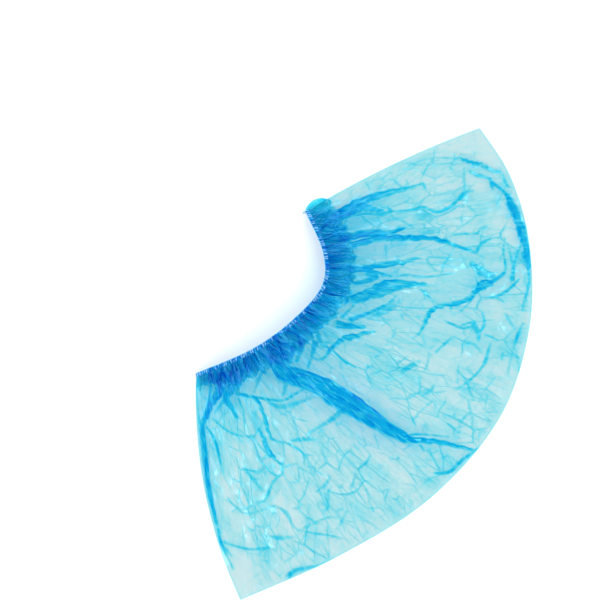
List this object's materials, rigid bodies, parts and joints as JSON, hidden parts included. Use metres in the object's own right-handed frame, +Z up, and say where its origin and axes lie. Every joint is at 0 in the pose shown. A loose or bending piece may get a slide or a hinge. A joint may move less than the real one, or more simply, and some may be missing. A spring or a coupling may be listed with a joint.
{
  "type": "shoe cover",
  "caption": "Disposable overshoe of thin blue film, lying flat on its side, with a gathered elastic mouth.",
  "frame": {"origin": "bottom centre of the box round the cover as it lies", "axes": "+X from the heel corner to the toe corner, +Y from the sole fold to the mouth, +Z up from the table"},
  "size_m": [0.336, 0.1874, 0.0176],
  "materials": {
    "film": "glossy, sheer",
    "hem": "glossy, sheer, two layers",
    "elastic": "gathered under film"
  },
  "bodies": {
    "root": {"lower_side": "film", "upper_side": "film", "hem_band": "hem", "elastic_loop": "elastic"}
  },
  "joints": []
}
